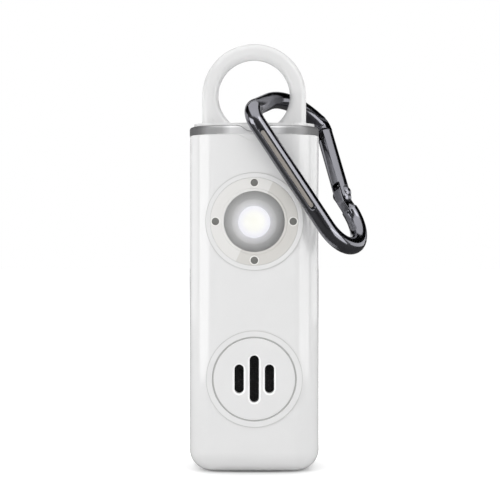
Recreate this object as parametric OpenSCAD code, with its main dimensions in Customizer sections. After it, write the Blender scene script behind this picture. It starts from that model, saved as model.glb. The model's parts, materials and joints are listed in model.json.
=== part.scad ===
// Personal safety alarm: a pocket siren with a strobe lamp, a lift-off pull loop and a snap hook.
// Front faces -Y, up is +Z, and the origin is the middle of the base.

/* [Housing] */
// Width of the body across the front
body_w = 30; // [28:0.5:33]
// Depth of the body from front to back
body_d = 17; // [16.5:0.5:19]
// Height of the two moulded shells
shell_h = 77.5; // [76:0.5:84]
// Radius of the upright corners
corner_r = 6.5; // [6:0.25:7]
// Radius of the rounded bottom edge
foot_r = 5; // [4:0.25:6]
// Wall thickness of the shells
wall = 1.6; // [1.4:0.1:1.8]
// Distance of the parting line behind the middle
split_y = 2.4; // [2:0.1:3]
// Height of the round pads over the front face
pad_rise = 0.15; // [0.05:0.05:0.3]
// Length of the locating lip on the rear cover
lip_h = 1.2; // [0.8:0.1:1.6]
// Thickness of the locating lip
lip_t = 0.8; // [0.6:0.1:1]

/* [Trim band] */
// Height of the metal band
band_h = 2; // [1.6:0.1:2.6]
// Wall thickness of the band
band_wall = 1.4; // [1:0.1:1.5]
// Rounding of the band's upper edge
band_edge_r = 0.6; // [0.3:0.1:0.8]
// Depth of the dip in the middle of the band
dip_depth = 1.5; // [1:0.1:1.8]
// Radius at the bottom of the dip
dip_r = 4; // [3.5:0.25:5]
// Radius where the dip runs out to the straight edge
dip_blend_r = 2.6; // [2:0.2:3.4]

/* [Pull loop] */
// Outer width of the loop
loop_w = 24.3; // [22.5:0.1:25]
// Height of the loop over the band
loop_h = 19.8; // [18.5:0.1:22]
// Width of the loop's bar, seen from the front
loop_bar = 3.8; // [3.2:0.1:4.2]
// Depth of the loop's bar
loop_d = 3.4; // [3.2:0.1:3.8]
// Rounding of the bar's edges
loop_edge_r = 1.5; // [0.8:0.1:1.55]
// Thickness of the loop's base plate
plate_t = 0.6; // [0.5:0.05:0.9]
// Distance of the base plate's edge inside the body's outline
plate_inset = 1; // [0.6:0.1:1.4]
// Gap between the seated loop and the band
seat_gap = 0.1; // [0.05:0.05:0.2]

/* [Release pin] */
// Diameter of the release pin
pin_d = 4.6; // [4:0.1:5.2]
// Length of the pin under the loop's keel
pin_l = 10; // [9:0.25:11]
// Diameter of the spigot that holds the pin in the loop
spigot_d = 3; // [2.4:0.1:3.4]
// Length of the spigot
spigot_l = 1.3; // [1:0.1:1.5]
// Wall of the guide tube round the pin
guide_wall = 1.6; // [1.2:0.1:2]
// Travel of the switch plunger when the pin is drawn
plunger_travel = 1; // [0.6:0.1:1.2]

/* [Lamp] */
// Distance of the lamp's middle below the shell's top
lamp_drop = 19.9; // [19:0.1:20.6]
// Width of the flat pad that shows round the bezel
lamp_pad_w = 1.1; // [0.8:0.1:1.4]
// Width of the bezel's flat land, from the rim round the lens to its edge
land_w = 2.5; // [2.3:0.1:2.7]
// Thickness of the bezel ring
bezel_t = 0.95; // [0.8:0.05:1]
// Width of the raised rim round the lens
rim_w = 0.55; // [0.4:0.05:0.7]
// Height of that rim over the bezel
rim_rise = 0.12; // [0.05:0.01:0.2]
// Diameter of the lens that shows
lens_d = 13.9; // [13.4:0.1:14.3]
// Height of the lens dome
lens_crown = 0.45; // [0.3:0.05:0.55]
// Diameter of the four bezel studs
stud_d = 1.65; // [1.4:0.05:1.8]
// Place of the studs across the land, as a share from the rim outwards
stud_at = 0.54; // [0.5:0.01:0.56]
// Diameter of the lamp's diode
led_d = 6.9; // [6.4:0.1:7]

/* [Siren] */
// Height of the siren's middle over the base
siren_z = 21.7; // [21:0.1:22.5]
// Diameter of the flat pad round the grille
siren_pad_d = 21.9; // [21.6:0.1:22.6]
// Diameter of the grille's face
grille_d = 18.6; // [18:0.1:19]
// Gap between the grille's face and the housing
grille_gap = 0.35; // [0.2:0.05:0.5]
// Width of a sound slot
slot_w = 2.1; // [1.8:0.1:2.3]
// Distance between the slots
slot_pitch = 3.46; // [3:0.02:3.8]
// Height of the middle slot
slot_tall = 10.7; // [9:0.1:12]
// Height of the outer slots
slot_short = 6.55; // [5.5:0.05:8]
// Width of the chamfer round a slot
slot_chamfer = 0.4; // [0.2:0.05:0.5]
// Outer diameter of the sounder's case
siren_d = 20.8; // [20.2:0.1:21]

/* [Circuit board] */
// Gap between the board and the lip of the rear cover
board_gap = 0.5; // [0.3:0.1:1]
// Thickness of the board
board_t = 1.2; // [1:0.1:1.4]
// Diameter of a coin cell
cell_d = 20; // [19.5:0.1:20.2]
// Thickness of a coin cell
cell_t = 3.2; // [2.8:0.1:3.3]
// Diameter of the ferrite coil
coil_d = 6.4; // [5.6:0.1:6.8]
// Diameter of the housing screws
screw_d = 2; // [1.8:0.1:2.2]
// Diameter of the screw bosses
boss_d = 4.8; // [4.6:0.1:5]

/* [Snap hook] */
// Diameter of the hook's rod
rod_d = 4; // [3.7:0.1:4.2]
// Straight length of the spine
spine_l = 28; // [27:0.25:29.5]
// Bend radius between the spine and the top
crown_r = 3.5; // [3:0.1:4]
// Straight length of the top, between the crown and the arch
top_l = 6.8; // [6:0.1:7.4]
// Bend radius of the arch
arch_r = 18.7; // [18:0.1:19.4]
// Bend radius at the heel
heel_r = 7.3; // [7:0.1:7.7]
// Length of the flat tail from the heel to its bend
tail_l = 2.2; // [2:0.1:2.5]
// Length of the flat tail from its bend to the rivet
tail_up = 2.2; // [1.6:0.1:2.6]
// Gap between the gate's round end and the heel, along the gate
heel_gap = 1; // [0.8:0.1:1.2]
// Angle between the gate and the spine
gate_a = 35.3; // [34:0.1:36]
// Bend radius between the arch and the nose
nose_r = 2.4; // [2.2:0.1:2.8]
// Straight length of the nose past that bend, along the gate
nose_l = 0.4; // [0.3:0.1:0.8]
// Depth of the flats on the two sides of the nose
nose_flat = 0.35; // [0.2:0.05:0.5]
// Length of those flats
nose_flat_l = 2.4; // [2:0.1:2.8]
// Width of the groove in the spine
groove_w = 1.3; // [1:0.1:1.5]
// Depth of that groove
groove_deep = 0.45; // [0.3:0.05:0.6]
// Where the groove starts on the spine
groove_from = 2; // [1:0.1:4]
// Where the groove ends on the spine
groove_to = 22.7; // [20:0.1:24]
// Turn of the groove about the spine, from the outer side towards the front
groove_turn = 24; // [0:1:35]
// Thickness of the flat tail
tenon_t = 2; // [1.8:0.1:2.1]
// Thickness of the tongue at the nose
tongue_t = 1.2; // [1:0.1:1.4]
// Length of the tongue past the nose
tongue_l = 2; // [1.6:0.1:2.2]
// Diameter of the gate's rivet
rivet_d = 1.5; // [1.3:0.1:1.7]
// Diameter of the rivet's heads
rivet_head_d = 2.6; // [2.3:0.1:2.8]
// Bore of the gate for its spring
gate_bore = 2; // [1.9:0.1:2.2]
// Number of curls of the gate spring
spring_turns = 6; // [5:1:7]
// Wire diameter of the gate spring
spring_wire = 0.32; // [0.28:0.02:0.36]
// Slope of the spine below the horizontal
hook_lean = 56.5; // [55.5:0.1:57.5]
// Point of the arch that passes behind the loop, as an angle on its bend
pass_a = 143.8; // [141:0.2:146]
// Distance between the loop's leg and the arch, straight back
pass_gap = 3.7; // [3.5:0.1:4.4]
// Height of the loop's middle over that point of the arch
pass_low = 1.4; // [1:0.1:2]
// Distance of that point inside the middle of the leg
pass_in = 0.3; // [0:0.1:0.6]

/* [Fits] */
// Gap round a part that sits in a pocket
fit = 0.1; // [0.08:0.01:0.12]
// Gap round a part that slides or turns in its bore
run = 0.06; // [0.04:0.01:0.08]
// Gap between the hook and what it hangs beside
hang_gap = 0.25; // [0.2:0.05:0.4]
// Gap between the gate and the nose
nose_gap = 0.3; // [0.25:0.05:0.4]

/* [Hidden] */
$fn = 72;
eps = 0.01;
past = 1;

// Planes of the housing
front_y = -body_d / 2;
back_y = body_d / 2;
pad_y = front_y - pad_rise;
inner_y = front_y + wall;
rear_y = back_y - wall;
boss_root_y = inner_y - wall / 8;
cavity_w = body_w - 2 * wall;
cavity_d = body_d - 2 * wall;
cavity_r = corner_r - wall;

// Top of the body: band, deck and loop seat
band_z = shell_h + band_h;
deck_top_z = band_z - fit;
ledge_w = 1.2;
ledge_t = 1.2;
deck_sink = 3.1;
deck_z = shell_h - deck_sink;
deck_wall = 1.5;
deck_roof = 3.1;
plate_z = band_z + seat_gap;
plate_top_z = plate_z + plate_t;
keel_z = plate_z - dip_depth;
pin_tip_z = keel_z - pin_l;
loop_r = loop_w / 2;
eye_r = loop_r - loop_bar;
loop_z = band_z + loop_h - loop_r;
leg_x = loop_r - loop_bar / 2;

// Arcs of the dip, worked out so that they run into each other
dip_rise = dip_r - dip_depth;
dip_x = sqrt(pow(dip_r + dip_blend_r, 2) - pow(dip_rise + dip_blend_r, 2));
dip_share = dip_r / (dip_r + dip_blend_r);

// Stack of the lamp, from front to back
lamp_z = shell_h - lamp_drop;
bezel_back_y = pad_y + bezel_t;
rim_r = lens_d / 2 + rim_w;
bezel_r = rim_r + land_w;
lamp_pad_r = bezel_r + lamp_pad_w;
stud_r = stud_d / 2;
stud_circle_r = rim_r + stud_at * land_w;
stud_places = [for (a = [0:90:270]) [stud_circle_r * cos(a), lamp_z + stud_circle_r * sin(a)]];
shelf_w = 0.75;
shelf_r = lens_d / 2 + shelf_w;
lens_flange_r = shelf_r - fit;
lens_sink = 0.35;
lens_edge_y = pad_y + bezel_t * lens_sink;
reflector_t = 0.6;
reflector_lip_w = 1;
reflector_rim_r = shelf_r + reflector_lip_w;
reflector_deep = 4.3;
reflector_back_y = inner_y + reflector_deep;
reflector_step_r = lens_d * 0.36;
led_r = led_d / 2;
led_gap = 0.4;
led_tip_y = inner_y + led_gap;

// Stack behind the board, from back to front
clip_t = 0.3;
strap_w = 6;
contact_t = 0.3;
clip_y = rear_y - 1.5 * fit - clip_t;
board_back_y = clip_y - cell_t - contact_t;
board_y = board_back_y - board_t;

// Stack of the siren, from front to back
flange_t = 0.8;
flange_w = 1.1;
grille_flange_r = grille_d / 2 + flange_w;
mesh_t = 0.4;
mesh_y = inner_y + flange_t;
case_y = mesh_y + mesh_t;
case_wall = 1;
siren_r = siren_d / 2;
siren_pin_r = 0.4;
siren_pin_x = siren_r / 2;
disc_t = 0.3;
ceramic_t = 0.3;
ceramic_share = 0.62;
disc_share = 0.45;
disc_y = case_y + (board_y - case_y) * disc_share;

// Places on the board
mid_z = (siren_z + siren_r + lamp_z - reflector_rim_r) / 2;
board_w = cavity_w - 2 * (fit + lip_t + board_gap);
board_edge = 0.8;
board_bottom_z = siren_z - siren_r - board_edge;
board_top_z = pin_tip_z - board_edge / 2;
board_corner_r = 1.5;
post_in = 2.2;
post_x = board_w / 2 - post_in;
post_d = 4;
board_screw_d = 1.4;
board_screw_l = 4;
board_head_t = 0.9;
cell_gap = 2.4;
cell_offset = (cell_d + cell_gap) / 2;
cell_step = 0.5;
switch_w = 6;
switch_t = 4.05;
switch_y = board_y - switch_t;
switch_foot = 1.4;
switch_z = lamp_z + led_r + switch_foot;
plunger_show = 1.8;
plunger_hold = 2;
plunger_d = 2.4;
switch_top_z = pin_tip_z - plunger_show;

// Screws of the rear cover
boss_side = 2.6;
boss_low = 3;
boss_high = 0.4;
boss_x = cavity_w / 2 - boss_d / 2 - boss_side;
boss_low_z = wall + boss_d / 2 + boss_low;
boss_high_z = deck_z - ledge_t - boss_d / 2 - boss_high;
head_d = screw_d * 1.7;
head_t = screw_d * 0.55;
head_sink = 0.5;
head_y = back_y - head_sink - head_t;
cross_l = head_d * 0.62;
cross_w = head_d * 0.17;
cross_deep = head_t * 0.6;
screw_l = 9;
screw_end = 0.5;
screw_places = [for (x = [-boss_x, boss_x], z = [boss_low_z, boss_high_z]) [x, z]];

// Line of the hook's rod in its own plane: x runs down the spine, y across to the gate
rod_r = rod_d / 2;
function polar(r, a) = [r * cos(a), r * sin(a)];
crown_c = [0, crown_r];
arch_c = [arch_r - crown_r, crown_r + top_l];
heel_c = [spine_l, heel_r];
heel_end = [spine_l, 2 * heel_r];
knee = heel_end - [tail_l, 0];
gate_up = polar(1, 180 - gate_a);
hinge = knee + tail_up * gate_up;
gate_tail = tail_up + tail_l * cos(gate_a) - rod_r - heel_gap;

// Nose bend, which runs into the arch and into the line of the gate
nose_side = polar(nose_r, 270 - gate_a);
nose_span = arch_r - nose_r;
nose_from = hinge + nose_side - arch_c;
nose_lead = nose_from * gate_up;
nose_reach = sqrt(nose_lead * nose_lead - nose_from * nose_from + nose_span * nose_span) - nose_lead;
nose = hinge + nose_reach * gate_up;
nose_c = nose + nose_side;
nose_a = atan2(nose_c.y - arch_c.y, nose_c.x - arch_c.x);
gate_l = nose_reach - nose_l - nose_gap;
pass_at = arch_c + polar(arch_r, pass_a);

// Place of the hook: the spine lies before the body and the arch passes behind the loop's leg
spine_y = front_y - 1.5 * hang_gap - rod_r;
pass_y = loop_d / 2 + rod_r + pass_gap;
hook_tilt = asin((pass_y - spine_y) / pass_at.y);
hook_u = [cos(hook_lean), 0, -sin(hook_lean)];
hook_v = [sin(hook_lean) * cos(hook_tilt), sin(hook_tilt), cos(hook_lean) * cos(hook_tilt)];
hook_n = cross(hook_u, hook_v);
hook_o = [leg_x - pass_in, pass_y, loop_z - pass_low] - pass_at.x * hook_u - pass_at.y * hook_v;
function on_hook(p) = hook_o + p.x * hook_u + p.y * hook_v;

// Inside of the gate
slot_t = tenon_t + 4 * run;
tenon_in = 0.1;
tenon_r = rod_r - tenon_in;
shoulder_l = tail_l * 0.7;
shoulder_r = tenon_t * 0.4;
slot_bottom = tenon_r + 0.45;
notch_t = tongue_t + 6 * run;
notch_l = tongue_l - nose_gap + 0.6;
rivet_sink = 0.25;
rivet_seat = rod_r - rivet_sink;
rivet_head_h = rivet_head_d * 0.24;
rivet_dome_r = rivet_head_d * 0.62;
spring_r = gate_bore / 2 - run - spring_wire / 2;
plunger_l = 2.4;
spring_from = tenon_r + run + plunger_l;
spring_pitch = 0.78;
spring_l = spring_turns * spring_pitch;
bore_l = spring_from + spring_l + spring_wire + fit;
echo(hook_o = hook_o, hook_u = hook_u, hook_v = hook_v, hook_n = hook_n, tilt = hook_tilt);
echo(hinge_at = on_hook(hinge), nose_at = on_hook(nose), heel_at = on_hook(heel_c), gate_l = gate_l);
echo(spring_least_gap = spring_pitch - spring_wire);

// Shapes that repeat

// A cylinder along Y from y0 to y1
module rod_y(x, z, y0, y1, r) {
    translate([x, y0, z])
        rotate([-90, 0, 0])
            cylinder(r = r, h = y1 - y0);
}

// A flat outline in X and Z, given depth from y0 to y1
module panel_y(y0, y1) {
    translate([0, y1, 0])
        rotate([90, 0, 0])
            linear_extrude(y1 - y0)
                children();
}

// A profile of radius and depth, turned about an axis along Y
module turn_y(x, z) {
    translate([x, 0, z])
        rotate([-90, 0, 0])
            rotate_extrude()
                children();
}

// Rectangle with round corners, centred
module rounded_plan(w, d, r) {
    square([w - 2 * r, d], center = true);
    square([w, d - 2 * r], center = true);
    for (x = [-1, 1], y = [-1, 1])
        translate([x * (w / 2 - r), y * (d / 2 - r)])
            circle(r);
}

// Half of an upright section whose lower outer corner has radius f
module foot_profile(r, h, f) {
    difference() {
        square([r, h]);
        difference() {
            translate([r - f, -past])
                square([f + past, f + past]);
            translate([r - f, f])
                circle(f);
        }
    }
}

// Upright block with round corners r and a rounded bottom edge f
module slab(w, d, h, r, f) {
    for (turn = [0, 180])
        rotate(turn) {
            translate([w / 2 - r, d / 2 - r, 0])
                rotate_extrude(angle = 90)
                    foot_profile(r, h, f);
            translate([r - w / 2, d / 2 - r, 0])
                rotate(90)
                    rotate_extrude(angle = 90)
                        foot_profile(r, h, f);
            translate([r - w / 2, d / 2 - r, 0])
                rotate([90, 0, 90])
                    linear_extrude(w - 2 * r)
                        foot_profile(r, h, f);
            translate([w / 2 - r, d / 2 - r, 0])
                rotate([90, 0, 0])
                    linear_extrude(d - 2 * r)
                        foot_profile(r, h, f);
        }
    translate([r - w / 2, r - d / 2, 0])
        cube([w - 2 * r, d - 2 * r, h]);
}

// What the dip takes away from an edge at height z, up to well above it
module dip(z) {
    reach = 8;
    low_x = dip_x * dip_share;
    low_z = z + dip_rise - (dip_rise + dip_blend_r) * dip_share;
    difference() {
        polygon([
            [-dip_x, z + reach], [-dip_x, z], [-low_x, low_z],
            [low_x, low_z], [dip_x, z], [dip_x, z + reach]
        ]);
        for (x = [-dip_x, dip_x])
            translate([x, z - dip_blend_r])
                circle(dip_blend_r);
    }
    intersection() {
        translate([0, z + dip_rise])
            circle(dip_r);
        translate([-dip_r, z - dip_r])
            square([2 * dip_r, dip_r]);
    }
}

// Half of a sound slot's section: a chamfer at the face y0, then straight to y1
module slot_profile(y0, y1) {
    polygon([
        [0, y0 - past], [slot_w / 2 + slot_chamfer, y0 - past], [slot_w / 2 + slot_chamfer, y0],
        [slot_w / 2, y0 + slot_chamfer], [slot_w / 2, y1], [0, y1]
    ]);
}

// Upright slot with round ends and a chamfer at the face, as a solid to cut away
module slot(x, z, h, y0, y1) {
    straight = h - slot_w;
    translate([x, 0, z - straight / 2]) {
        for (side = [0, 1])
            mirror([side, 0, 0])
                linear_extrude(straight)
                    slot_profile(y0, y1);
        rotate([-90, 0, 0])
            rotate_extrude(angle = 180)
                slot_profile(y0, y1);
        translate([0, 0, straight])
            rotate([-90, 180, 0])
                rotate_extrude(angle = 180)
                    slot_profile(y0, y1);
    }
}

// Housing

module outer_block() {
    slab(body_w, body_d, shell_h, corner_r, foot_r);
    rod_y(0, lamp_z, pad_y, inner_y, lamp_pad_r);
    rod_y(0, siren_z, pad_y, inner_y, siren_pad_d / 2);
}

module cavity() {
    translate([0, 0, wall])
        slab(cavity_w, cavity_d, shell_h, cavity_r, foot_r - wall);
}

module half_space(front) {
    y = front ? split_y - 2 * body_d : split_y;
    translate([-body_w, y, -body_w])
        cube([2 * body_w, 2 * body_d, shell_h + 2 * body_w]);
}

// Inner ledge that the deck stands on
module ledge() {
    translate([0, 0, deck_z - ledge_t])
        linear_extrude(ledge_t)
            difference() {
                rounded_plan(cavity_w + wall / 4, cavity_d + wall / 4, cavity_r + wall / 8);
                rounded_plan(cavity_w - 2 * ledge_w, cavity_d - 2 * ledge_w, cavity_r - ledge_w);
            }
}

module shell_half(front) {
    intersection() {
        union() {
            difference() {
                outer_block();
                cavity();
                panel_y(-body_d, body_d)
                    dip(shell_h);
            }
            ledge();
        }
        half_space(front);
    }
}

// Outline of the lip, open at the top
module lip_outline() {
    lip_w = cavity_w - 2 * fit;
    lip_r = foot_r - wall - fit;
    low = wall + fit;
    high = deck_z - ledge_t - 2 * fit;
    difference() {
        translate([0, low + lip_w / 2])
            rounded_plan(lip_w, lip_w, lip_r);
        translate([0, low + lip_w / 2 + lip_t])
            rounded_plan(lip_w - 2 * lip_t, lip_w, lip_r - lip_t);
        translate([-body_w, low + lip_w / 2])
            square([2 * body_w, 2 * body_w]);
    }
    for (x = [-lip_w / 2, lip_w / 2 - lip_t])
        translate([x, low + lip_w / 2])
            square([lip_t, high - low - lip_w / 2]);
}

module front_housing() {
    color("#e8e8e6")
        difference() {
            union() {
                shell_half(true);
                for (p = screw_places)
                    rod_y(p.x, p.y, boss_root_y, split_y, boss_d / 2);
                for (x = [-post_x, post_x])
                    rod_y(x, mid_z, boss_root_y, board_y, post_d / 2);
            }
            rod_y(0, lamp_z, pad_y - past, bezel_back_y, bezel_r + fit);
            rod_y(0, lamp_z, pad_y - past, inner_y + past, shelf_r);
            for (p = stud_places)
                rod_y(p.x, p.y, pad_y - past, inner_y + past, stud_r + run);
            rod_y(0, siren_z, pad_y - past, inner_y + past, grille_d / 2 + grille_gap);
            rod_y(0, siren_z, inner_y, split_y, grille_flange_r + fit);
            for (p = screw_places)
                rod_y(p.x, p.y, split_y - screw_l, split_y + past, screw_d / 2 + run);
            for (x = [-post_x, post_x])
                rod_y(x, mid_z, board_y - board_screw_l - past, board_y + past, board_screw_d / 2 + run);
        }
}

module rear_cover() {
    color("#e4e4e2")
        difference() {
            union() {
                shell_half(false);
                for (p = screw_places)
                    rod_y(p.x, p.y, split_y, rear_y + wall / 8, boss_d / 2);
                panel_y(split_y - lip_h, split_y + lip_h + lip_t)
                    lip_outline();
            }
            for (p = screw_places) {
                rod_y(p.x, p.y, split_y - past, back_y + past, screw_d / 2 + fit);
                rod_y(p.x, p.y, head_y, back_y + past, head_d / 2 + fit);
            }
        }
}

module trim_band() {
    color("#b4b4b6")
        difference() {
            translate([0, 0, band_z])
                mirror([0, 0, 1])
                    slab(body_w, body_d, band_h + dip_depth, corner_r, band_edge_r);
            translate([0, 0, shell_h - 2 * dip_depth])
                linear_extrude(band_h + 3 * dip_depth)
                    rounded_plan(body_w - 2 * band_wall, body_d - 2 * band_wall, corner_r - band_wall);
            panel_y(-body_d, body_d)
                dip(band_z);
            panel_y(-body_d, body_d)
                difference() {
                    translate([-body_w, shell_h - 3 * dip_depth])
                        square([2 * body_w, 3 * dip_depth]);
                    dip(shell_h);
                }
        }
}

// Deck that closes the top and guides the release pin
module pin_guide() {
    deck_w = cavity_w - 2 * fit;
    deck_d = cavity_d - 2 * fit;
    deck_r = cavity_r - fit;
    guide_gap = 0.5;
    guide_z = pin_tip_z + plunger_travel + guide_gap;
    color("#d2d2d0")
        difference() {
            union() {
                difference() {
                    translate([0, 0, deck_z])
                        linear_extrude(deck_top_z - deck_z)
                            rounded_plan(deck_w, deck_d, deck_r);
                    translate([0, 0, deck_z - past])
                        linear_extrude(deck_top_z - deck_roof - deck_z + past)
                            rounded_plan(
                                deck_w - 2 * deck_wall, deck_d - 2 * deck_wall, deck_r - deck_wall
                            );
                    panel_y(-body_d, body_d)
                        dip(band_z);
                }
                translate([0, 0, guide_z])
                    cylinder(d = pin_d + 2 * guide_wall, h = keel_z - guide_gap - guide_z);
            }
            translate([0, 0, pin_tip_z - past])
                cylinder(d = pin_d + 2 * run, h = pin_l + 3 * past);
        }
}

// Lamp

module lamp_bezel() {
    color("#dddbd5")
        difference() {
            union() {
                rod_y(0, lamp_z, pad_y, bezel_back_y, bezel_r);
                rod_y(0, lamp_z, pad_y - rim_rise, bezel_back_y, rim_r);
            }
            rod_y(0, lamp_z, pad_y - past, bezel_back_y + past, lens_d / 2);
            for (p = stud_places)
                rod_y(p.x, p.y, pad_y - past, bezel_back_y + past, stud_r + run);
        }
}

module bezel_studs() {
    color("#6a6a66")
        for (p = stud_places)
            rod_y(p.x, p.y, pad_y - eps, inner_y, stud_r);
}

// Clear disc with a shallow dome, held by its flange behind the bezel
module lamp_lens() {
    edge_r = lens_d / 2 - fit;
    dome_r = (edge_r * edge_r + lens_crown * lens_crown) / (2 * lens_crown);
    color("#c4c6c6", 0.6) {
        rod_y(0, lamp_z, bezel_back_y + eps, inner_y, lens_flange_r);
        intersection() {
            rod_y(0, lamp_z, pad_y - past, inner_y, edge_r);
            translate([0, lens_edge_y - lens_crown + dome_r, lamp_z])
                sphere(dome_r, $fn = 256);
        }
    }
}

// Bowl with a shallow outer cone and a steep inner one
module lamp_reflector() {
    rim_y = inner_y + eps;
    rim_back_y = rim_y + reflector_t;
    mouth_r = lens_d / 2 - run;
    step_y = inner_y + 0.35 * reflector_deep;
    step_h = reflector_t / 2;
    color("#a6a6a6")
        turn_y(0, lamp_z)
            polygon([
                [mouth_r, rim_y], [reflector_step_r, step_y], [reflector_step_r, step_y + step_h],
                [led_r + fit, reflector_back_y], [led_r + fit + reflector_t, reflector_back_y],
                [reflector_step_r + reflector_t, step_y + 2 * step_h], [shelf_r, rim_back_y],
                [reflector_rim_r, rim_back_y], [reflector_rim_r, rim_y]
            ]);
}

module strobe_led() {
    flange_back_y = reflector_back_y + 1;
    flange_r = led_r + 0.5;
    stem_r = led_r - 0.6;
    color("#fbfbf2") {
        translate([0, led_tip_y + led_r, lamp_z])
            sphere(led_r);
        rod_y(0, lamp_z, led_tip_y + led_r, reflector_back_y, led_r);
        rod_y(0, lamp_z, reflector_back_y, flange_back_y, flange_r);
        rod_y(0, lamp_z, flange_back_y, board_y, stem_r);
    }
}

// Siren

module siren_grille() {
    color("#e6e6e4")
        difference() {
            union() {
                rod_y(0, siren_z, pad_y, mesh_y, grille_d / 2);
                rod_y(0, siren_z, inner_y + eps, mesh_y, grille_flange_r);
            }
            for (part = [[-slot_pitch, slot_short], [0, slot_tall], [slot_pitch, slot_short]])
                slot(part[0], siren_z, part[1], pad_y, mesh_y + past);
        }
}

module grille_mesh() {
    color("#151515")
        rod_y(0, siren_z, mesh_y, case_y, grille_flange_r - fit);
}

// Cup with a step that holds the sounder disc
module siren_case() {
    color("#1c1c1e")
        difference() {
            rod_y(0, siren_z, case_y, board_y, siren_r);
            rod_y(0, siren_z, case_y - past, disc_y, siren_r - case_wall);
            rod_y(0, siren_z, case_y - past, board_y - case_wall, siren_r - 2 * case_wall);
            for (x = [-siren_pin_x, siren_pin_x])
                rod_y(x, siren_z, board_y - 2 * case_wall, board_y + past, siren_pin_r + run);
        }
}

module sounder_disc() {
    color("#c9a85a")
        rod_y(0, siren_z, disc_y - disc_t, disc_y, siren_r - case_wall - fit);
}

module piezo_element() {
    color("#e8e4d6")
        rod_y(0, siren_z, disc_y, disc_y + ceramic_t, siren_r * ceramic_share);
}

module siren_pins() {
    color("#b8b8b8")
        for (x = [-siren_pin_x, siren_pin_x])
            rod_y(x, siren_z, board_y - case_wall, board_back_y, siren_pin_r);
}

// Board and what stands on it

module circuit_board() {
    h = board_top_z - board_bottom_z;
    color("#2f6b45")
        difference() {
            panel_y(board_y, board_back_y)
                translate([0, board_bottom_z + h / 2])
                    rounded_plan(board_w, h, board_corner_r);
            for (x = [-post_x, post_x])
                rod_y(x, mid_z, board_y - past, board_back_y + past, board_screw_d / 2 + fit);
            for (x = [-siren_pin_x, siren_pin_x])
                rod_y(x, siren_z, board_y - past, board_back_y + past, siren_pin_r + run);
        }
}

module board_screws() {
    color("#9a9a9c")
        for (x = [-post_x, post_x]) {
            rod_y(x, mid_z, board_y - board_screw_l, board_back_y + eps, board_screw_d / 2);
            rod_y(x, mid_z, board_back_y, board_back_y + board_head_t, board_screw_d);
        }
}

// Ferrite drum with its winding
module boost_coil() {
    l = coil_d * 0.9;
    color("#3a3530")
        for (part = [[0, 0.15, 1], [0.15, 0.85, 0.86], [0.85, 1, 1]])
            rod_y(0, mid_z, board_y - l + part[0] * l, board_y - l + part[1] * l, coil_d / 2 * part[2]);
}

module driver_chip() {
    chip = [5, 1.5, 3.6];
    gap = 0.6;
    color("#202020")
        translate([-chip.x / 2, board_y - chip.y, mid_z - coil_d / 2 - chip.z - gap])
            cube(chip);
}

module coin_cells() {
    cap_y = board_back_y + contact_t;
    color("#c4c6c8")
        for (s = [-1, 1]) {
            rod_y(0, mid_z + s * cell_offset, cap_y, clip_y - cell_step, cell_d / 2 - cell_step);
            rod_y(0, mid_z + s * cell_offset, cap_y + cell_step, clip_y, cell_d / 2);
        }
}

module cell_contacts() {
    color("#b9a15c")
        for (s = [-1, 1])
            rod_y(0, mid_z + s * cell_offset, board_back_y, board_back_y + contact_t, cell_d / 5);
}

// Spring steel straps over the cells
module cell_clips() {
    inside = cell_d + 6 * fit;
    color("#a9abad")
        for (s = [-1, 1])
            translate([-strap_w / 2, 0, mid_z + s * cell_offset - inside / 2])
                difference() {
                    translate([0, board_back_y, -clip_t])
                        cube([strap_w, clip_y + clip_t - board_back_y, inside + 2 * clip_t]);
                    translate([-past, board_back_y - past, 0])
                        cube([strap_w + 2 * past, clip_y - board_back_y + past, inside]);
                }
}

module trigger_switch() {
    color("#2a2a2c")
        difference() {
            translate([-switch_w / 2, switch_y, switch_z])
                cube([switch_w, board_y - switch_y, switch_top_z - switch_z]);
            translate([0, 0, switch_top_z - plunger_hold - 4 * fit - plunger_travel])
                cylinder(d = plunger_d + 2 * run, h = plunger_hold + plunger_travel + past);
        }
}

module switch_plunger() {
    color("#d8d4c8")
        translate([0, 0, switch_top_z - plunger_hold])
            cylinder(d = plunger_d, h = plunger_hold + plunger_show - fit);
}

// Cross-head screws, sunk in the rear cover
module rear_screws() {
    color("#8f9194")
        for (p = screw_places)
            difference() {
                union() {
                    rod_y(p.x, p.y, head_y, back_y - head_sink, head_d / 2);
                    rod_y(p.x, p.y, split_y - screw_l + screw_end, head_y + eps, screw_d / 2);
                }
                for (size = [[cross_l, cross_w], [cross_w, cross_l]])
                    translate([p.x - size.x / 2, back_y - head_sink - cross_deep, p.y - size.y / 2])
                        cube([size.x, head_t, size.y]);
            }
}

// Pull loop and its pin

// Section of the loop's bar
module bar_section() {
    rounded_plan(loop_bar, loop_d, loop_edge_r);
}

// Part of the loop's ring, from angle a0 to a1 as seen from the front
module ring(a0, a1) {
    translate([0, 0, loop_z])
        rotate([90, 0, 0])
            rotate(a0)
                rotate_extrude(angle = a1 - a0)
                    translate([eye_r + loop_bar / 2, 0])
                        bar_section();
}

module pull_loop() {
    eye_lead = 8;
    color("#e2e2e0")
        difference() {
            union() {
                ring(0, 180);
                intersection() {
                    ring(180 + eye_lead, 360 - eye_lead);
                    translate([-loop_w, -loop_d, plate_z + eps])
                        cube([2 * loop_w, 2 * loop_d, 2 * loop_w]);
                }
                for (x = [-leg_x, leg_x])
                    translate([x, 0, plate_z + eps])
                        linear_extrude(loop_z - plate_z - eps)
                            bar_section();
                translate([0, 0, plate_z])
                    linear_extrude(plate_t)
                        rounded_plan(
                            body_w - 2 * plate_inset, body_d - 2 * plate_inset, corner_r - plate_inset
                        );
                panel_y(front_y + 3 * fit, back_y - 3 * fit)
                    intersection() {
                        dip(plate_z);
                        translate([-dip_x, plate_z - 2 * dip_depth])
                            square([2 * dip_x, 2 * dip_depth + plate_t / 2]);
                    }
            }
            translate([0, 0, keel_z - past])
                cylinder(d = spigot_d + run, h = spigot_l + past);
        }
}

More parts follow.
